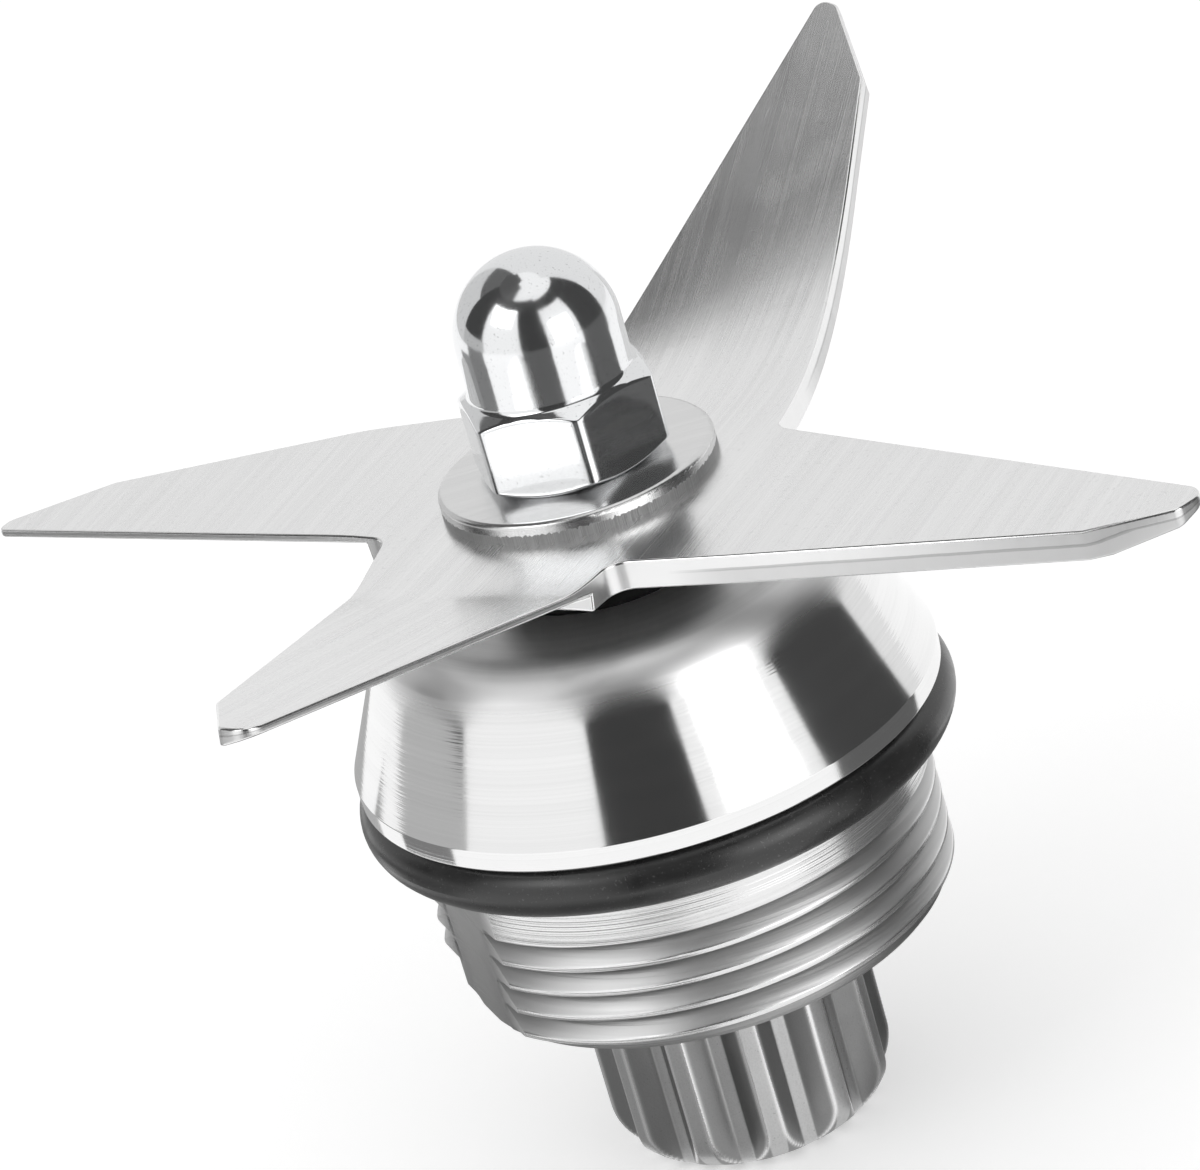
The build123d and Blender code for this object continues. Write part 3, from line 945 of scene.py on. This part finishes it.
def thread_tree():
    """Geometry nodes that wind a ridge up a round core and mill a flat down one side of it."""
    tree = bpy.data.node_groups.new("thread ridge", "GeometryNodeTree")
    for title in thread_sizes:
        tree.interface.new_socket(title, in_out="INPUT", socket_type="NodeSocketFloat")
    tree.interface.new_socket("Finish", in_out="INPUT", socket_type="NodeSocketMaterial")
    tree.interface.new_socket("Geometry", in_out="OUTPUT", socket_type="NodeSocketGeometry")
    given = tree.nodes.new("NodeGroupInput").outputs

    # Path of the ridge, just inside the core
    path_radius = calculate(tree, "SUBTRACT", given["Root Radius"], given["Bury"])
    path = node(
        tree,
        "GeometryNodeCurveSpiral",
        {
            "Resolution": thread_steps,
            "Rotations": given["Turns"],
            "Start Radius": path_radius,
            "End Radius": path_radius,
            "Height": calculate(tree, "MULTIPLY", given["Pitch"], given["Turns"]),
            "Reverse": True,
        },
    )
    middle_height = calculate(tree, "ADD", given["Start Height"], given["Crest Drop"])
    lift = node(tree, "ShaderNodeCombineXYZ", {2: middle_height})
    turn = node(tree, "ShaderNodeCombineXYZ", {2: given["Flat Azimuth"]})
    placed = node(
        tree,
        "GeometryNodeTransform",
        {"Geometry": path.outputs[0], "Translation": lift.outputs[0], "Rotation": turn.outputs[0]},
    )
    upright = node(tree, "GeometryNodeSetCurveNormal", {"Curve": placed.outputs[0]}, mode="Z_UP")

    # Section of the ridge, standing outwards from the path
    depth = calculate(tree, "SUBTRACT", given["Crest Radius"], path_radius)
    section = node(
        tree,
        "GeometryNodeCurvePrimitiveQuadrilateral",
        {
            "Height": depth,
            "Bottom Width": given["Base Width"],
            "Top Width": given["Crest Width"],
            "Offset": calculate(tree, "MULTIPLY", given["Crest Drop"], -1.0),
        },
        mode="TRAPEZOID",
    )
    rounded = node(
        tree,
        "GeometryNodeFilletCurve",
        {
            "Curve": section.outputs[0],
            "Count": rounding_steps,
            "Radius": given["Crest Rounding"],
            "Limit Radius": True,
        },
        mode="POLY",
    )
    stand_off = node(tree, "ShaderNodeCombineXYZ", {0: calculate(tree, "MULTIPLY", depth, half)})
    outward = node(
        tree,
        "GeometryNodeTransform",
        {
            "Geometry": rounded.outputs[0],
            "Translation": stand_off.outputs[0],
            "Rotation": (0.0, 0.0, section_turn),
        },
    )
    ridge = node(
        tree,
        "GeometryNodeCurveToMesh",
        {"Curve": upright.outputs[0], "Profile Curve": outward.outputs[0], "Fill Caps": True},
    )

    # Milled flat, which cuts off the ridge's start and end
    block_size = calculate(tree, "MULTIPLY", given["Crest Radius"], cutter_ratio)
    block_middle = calculate(tree, "MULTIPLY_ADD", block_size, half, given["Flat Distance"])
    size = node(tree, "ShaderNodeCombineXYZ", {0: block_size, 1: block_size, 2: block_size})
    block = node(tree, "GeometryNodeMeshCube", {"Size": size.outputs[0]})
    x = calculate(tree, "MULTIPLY", block_middle, calculate(tree, "COSINE", given["Flat Azimuth"]))
    y = calculate(tree, "MULTIPLY", block_middle, calculate(tree, "SINE", given["Flat Azimuth"]))
    block_place = node(tree, "ShaderNodeCombineXYZ", {0: x, 1: y})
    cutter = node(
        tree,
        "GeometryNodeTransform",
        {"Geometry": block.outputs[0], "Translation": block_place.outputs[0], "Rotation": turn.outputs[0]},
    )
    milled = node(
        tree,
        "GeometryNodeMeshBoolean",
        {"Mesh 1": ridge.outputs[0], "Mesh 2": cutter.outputs[0]},
        operation="DIFFERENCE",
        solver="EXACT",
    )
    real = node(tree, "GeometryNodeRealizeInstances", {"Geometry": milled.outputs[0]})
    finished = node(
        tree, "GeometryNodeSetMaterial", {"Geometry": real.outputs[0], "Material": given["Finish"]}
    )
    result = tree.nodes.new("NodeGroupOutput")
    tree.links.new(finished.outputs[0], result.inputs[0])
    return tree


def wound_thread(material):
    """The thread's ridge as a plain mesh."""
    piece = link_piece("jar_thread", bpy.data.meshes.new("jar_thread"))
    winding = piece.modifiers.new("thread ridge", "NODES")
    winding.node_group = thread_tree()
    for socket in winding.node_group.interface.items_tree:
        if socket.in_out == "INPUT":
            winding[socket.identifier] = thread_sizes.get(socket.name, material)
    bake_modifiers(piece)
    shade_by_angle(piece.data)
    return piece


housing = link_piece("threaded_housing", housing_mesh())
shade_by_angle(housing.data)
stand_for(housing, "housing", "bearing_housing", "housing_steel")
thread = wound_thread(finishes["housing_steel"])
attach(thread, "bearing_housing")

stand_for(eased_copy("blade", blade_ease), "blade", "rotor", "blade_steel")
for node_name, slot, mesh in (
    ("cap_nut", "nut_chrome", nut_mesh()),
    ("drive_spline", "spline_steel", spline_mesh()),
):
    shade_by_angle(mesh)
    stand_for(link_piece(mesh.name, mesh), node_name, "rotor", slot)

slot_of_node = {
    "flat_washer": "washer_steel",
    "o_ring": "ring_rubber",
    "shaft_seal": "seal_rubber",
    "retaining_ring": "clip_steel",
    "shaft": "shaft_steel",
    "blade_spacer": "shaft_steel",
    "inner_spacer": "shaft_steel",
    "outer_spacer": "shaft_steel",
}
for bearing in ("lower", "upper"):
    slot_of_node[f"{bearing}_inner_ring"] = "bearing_steel"
    slot_of_node[f"{bearing}_outer_ring"] = "bearing_steel"
    slot_of_node[f"{bearing}_balls"] = "ball_steel"
    slot_of_node[f"{bearing}_cage"] = "cage_steel"
    slot_of_node[f"{bearing}_top_shield"] = "shield_steel"
    slot_of_node[f"{bearing}_bottom_shield"] = "shield_steel"
for node_name, slot in slot_of_node.items():
    cad_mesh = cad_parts[node_name].data
    cad_mesh.materials.clear()
    cad_mesh.materials.append(finishes[slot])


def ray_is_seen(tree):
    """A mask of the rays that see the studio: from the camera, and off or through the object."""
    light_path = node(tree, "ShaderNodeLightPath").outputs
    seen = calculate(tree, "MAXIMUM", light_path["Is Camera Ray"], light_path["Is Glossy Ray"])
    return calculate(tree, "MAXIMUM", seen, light_path["Is Transmission Ray"])


def build_world():
    """A white room that lights the object plainly."""
    world = bpy.data.worlds.new("white room")
    world.use_nodes = True
    tree = world.node_tree
    background = tree.nodes["Background"]
    background.inputs["Color"].default_value = white
    strength = between(tree, ray_is_seen(tree), room_light, white_backdrop)
    tree.links.new(strength, background.inputs["Strength"])
    bpy.context.scene.world = world


def build_floor():
    """A pale floor that is white to the camera and keeps the object's shadow."""
    edge = floor_half_width
    mesh = bpy.data.meshes.new("studio_floor")
    corners = [(-edge, -edge), (edge, -edge), (edge, edge), (-edge, edge)]
    mesh.from_pydata([(x, y, -floor_drop) for x, y in corners], [], [(0, 1, 2, 3)])
    material, tree, shader = new_material("pale floor", not_metal)
    mottle = noise(tree, part_position(tree)[0], floor_mottle_scale, floor_mottle_detail)
    mottle = faded(tree, mottle, floor_mottle_share)
    colour = tone(tree, mottle, grey(floor_level), grey(floor_mottle_level))
    tree.links.new(colour, shader.inputs["Base Color"])
    shader.inputs["Roughness"].default_value = floor_roughness
    shader.inputs["Specular IOR Level"].default_value = floor_gloss
    shader.inputs["Emission Color"].default_value = white
    glow = faded(tree, ray_is_seen(tree), floor_glow)
    tree.links.new(glow, shader.inputs["Emission Strength"])
    mesh.materials.append(material)
    link_piece("studio_floor", mesh)


def build_card(name, start, end, edges, level):
    """A grey card on an arc round the object, which is seen only in the object's reflections.

    Each of its two edges is a distance and a height.
    """
    material = bpy.data.materials.new(name)
    material.use_nodes = True
    tree = material.node_tree
    tree.nodes.clear()
    glow = node(tree, "ShaderNodeEmission", {"Color": grey(level)})
    result = tree.nodes.new("ShaderNodeOutputMaterial")
    tree.links.new(glow.outputs[0], result.inputs["Surface"])
    vertices = []
    for step in range(card_steps + 1):
        angle = radians(start + (end - start) * step / card_steps)
        vertices += [(reach * cos(angle), reach * sin(angle), rise) for reach, rise in edges]
    faces = [(2 * i, 2 * i + 1, 2 * i + 3, 2 * i + 2) for i in range(card_steps)]
    mesh = bpy.data.meshes.new(name)
    mesh.from_pydata(vertices, [], faces)
    mesh.materials.append(material)
    card = link_piece(name, mesh)
    card.visible_camera = False
    card.visible_diffuse = False
    card.visible_shadow = False
    card.visible_transmission = False


def dome_card(name, start, end, low, high, level):
    """A card that stands round the object, between two azimuths and two elevations in degrees."""
    edges = [(card_radius * cos(radians(rise)), card_radius * sin(radians(rise))) for rise in (low, high)]
    build_card(name, start, end, edges, level)


def floor_card(name, start, end, near, far, level):
    """A card that lies on the floor, between two azimuths in degrees and two distances in millimetres."""
    edges = [(distance * mm, floor_card_lift) for distance in (near, far)]
    build_card(name, start, end, edges, level)


def build_soft_lamp(name, azimuth, elevation):
    """One large soft lamp that faces the object, at an azimuth and an elevation in degrees."""
    lamp = bpy.data.lights.new(name, "AREA")
    lamp.size = lamp_size
    lamp.energy = lamp_power
    stand = bpy.data.objects.new(name, lamp)
    across = lamp_distance * cos(radians(elevation))
    rise = lamp_distance * sin(radians(elevation))
    place = Vector((across * cos(radians(azimuth)), across * sin(radians(azimuth)), rise))
    stand.location = place
    stand.rotation_euler = (-place).to_track_quat("-Z", "Y").to_euler()
    bpy.context.scene.collection.objects.link(stand)


def build_camera():
    """The camera at the photograph's angle: looking along +Y, tilted down and rolled."""
    level_up = Vector((0, sin(camera_tilt), cos(camera_tilt)))
    level_right = Vector((1, 0, 0))
    right = level_right * cos(camera_roll) - level_up * sin(camera_roll)
    up = level_right * sin(camera_roll) + level_up * cos(camera_roll)
    forward = Vector((0, cos(camera_tilt), -sin(camera_tilt)))
    aim = Vector((0, 0, camera_aim_height))
    place = aim - right * camera_slide_right - up * camera_slide_up - forward * camera_distance
    data = bpy.data.cameras.new("photo camera")
    data.lens = camera_lens
    data.sensor_width = camera_sensor
    data.sensor_fit = "HORIZONTAL"
    data.clip_start = camera_clip
    data.dof.use_dof = False
    camera = bpy.data.objects.new("photo camera", data)
    camera.matrix_world = Matrix.Translation(place) @ Matrix((right, up, -forward)).transposed().to_4x4()
    bpy.context.scene.collection.objects.link(camera)
    bpy.context.scene.camera = camera


build_world()
build_floor()
build_soft_lamp("left soft lamp", azimuth=-146, elevation=48)
build_soft_lamp("right soft lamp", azimuth=-56, elevation=16)

# Cards that the metal mirrors: dark ones round two bright windows in front, and behind the object
# pale ones, with dark ones above them on the left. Grey ones lie on the floor
below_horizon = -1
right_window_top = 49
left_window_top = 54
black = 0.06
dome_card("front gap card", start=-118, end=-80, low=below_horizon, high=left_window_top, level=0.05)
dome_card("right card", start=-32, end=15, low=below_horizon, high=right_window_top, level=black)
dome_card("upper right card", start=-80, end=15, low=right_window_top, high=63, level=black)
dome_card("upper left card", start=-174, end=-80, low=left_window_top, high=66, level=black)
dome_card("left strip card", start=150, end=186, low=12, high=64, level=black)
dome_card("left low card", start=150, end=188, low=below_horizon, high=12, level=0.5)
dome_card("left rear upper card", start=108, end=150, low=40, high=64, level=0.14)
dome_card("left rear low card", start=108, end=150, low=below_horizon, high=40, level=0.65)
dome_card("left rear overhead card", start=100, end=225, low=64, high=85, level=0.1)
dome_card("rear card", start=15, end=108, low=below_horizon, high=72, level=0.84)
floor_card("right floor card", start=-32, end=15, near=12, far=800, level=0.12)
floor_card("front floor card", start=-118, end=-80, near=100, far=800, level=0.12)
floor_card("left rear floor card", start=95, end=140, near=20, far=120, level=0.45)
floor_card("left middle floor card", start=140, end=158, near=85, far=250, level=0.3)
floor_card("left floor card", start=158, end=185, near=60, far=790, level=0.22)
# Painted shade: grey cards where the object's shadow lies on the floor, seen only in the metal's
# reflections
floor_card("left near floor card", start=140, end=262, near=9, far=46, level=0.35)
floor_card("right near floor card", start=-48, end=60, near=9, far=46, level=0.3)
build_camera()
bpy.context.scene.view_settings.view_transform = "Standard"
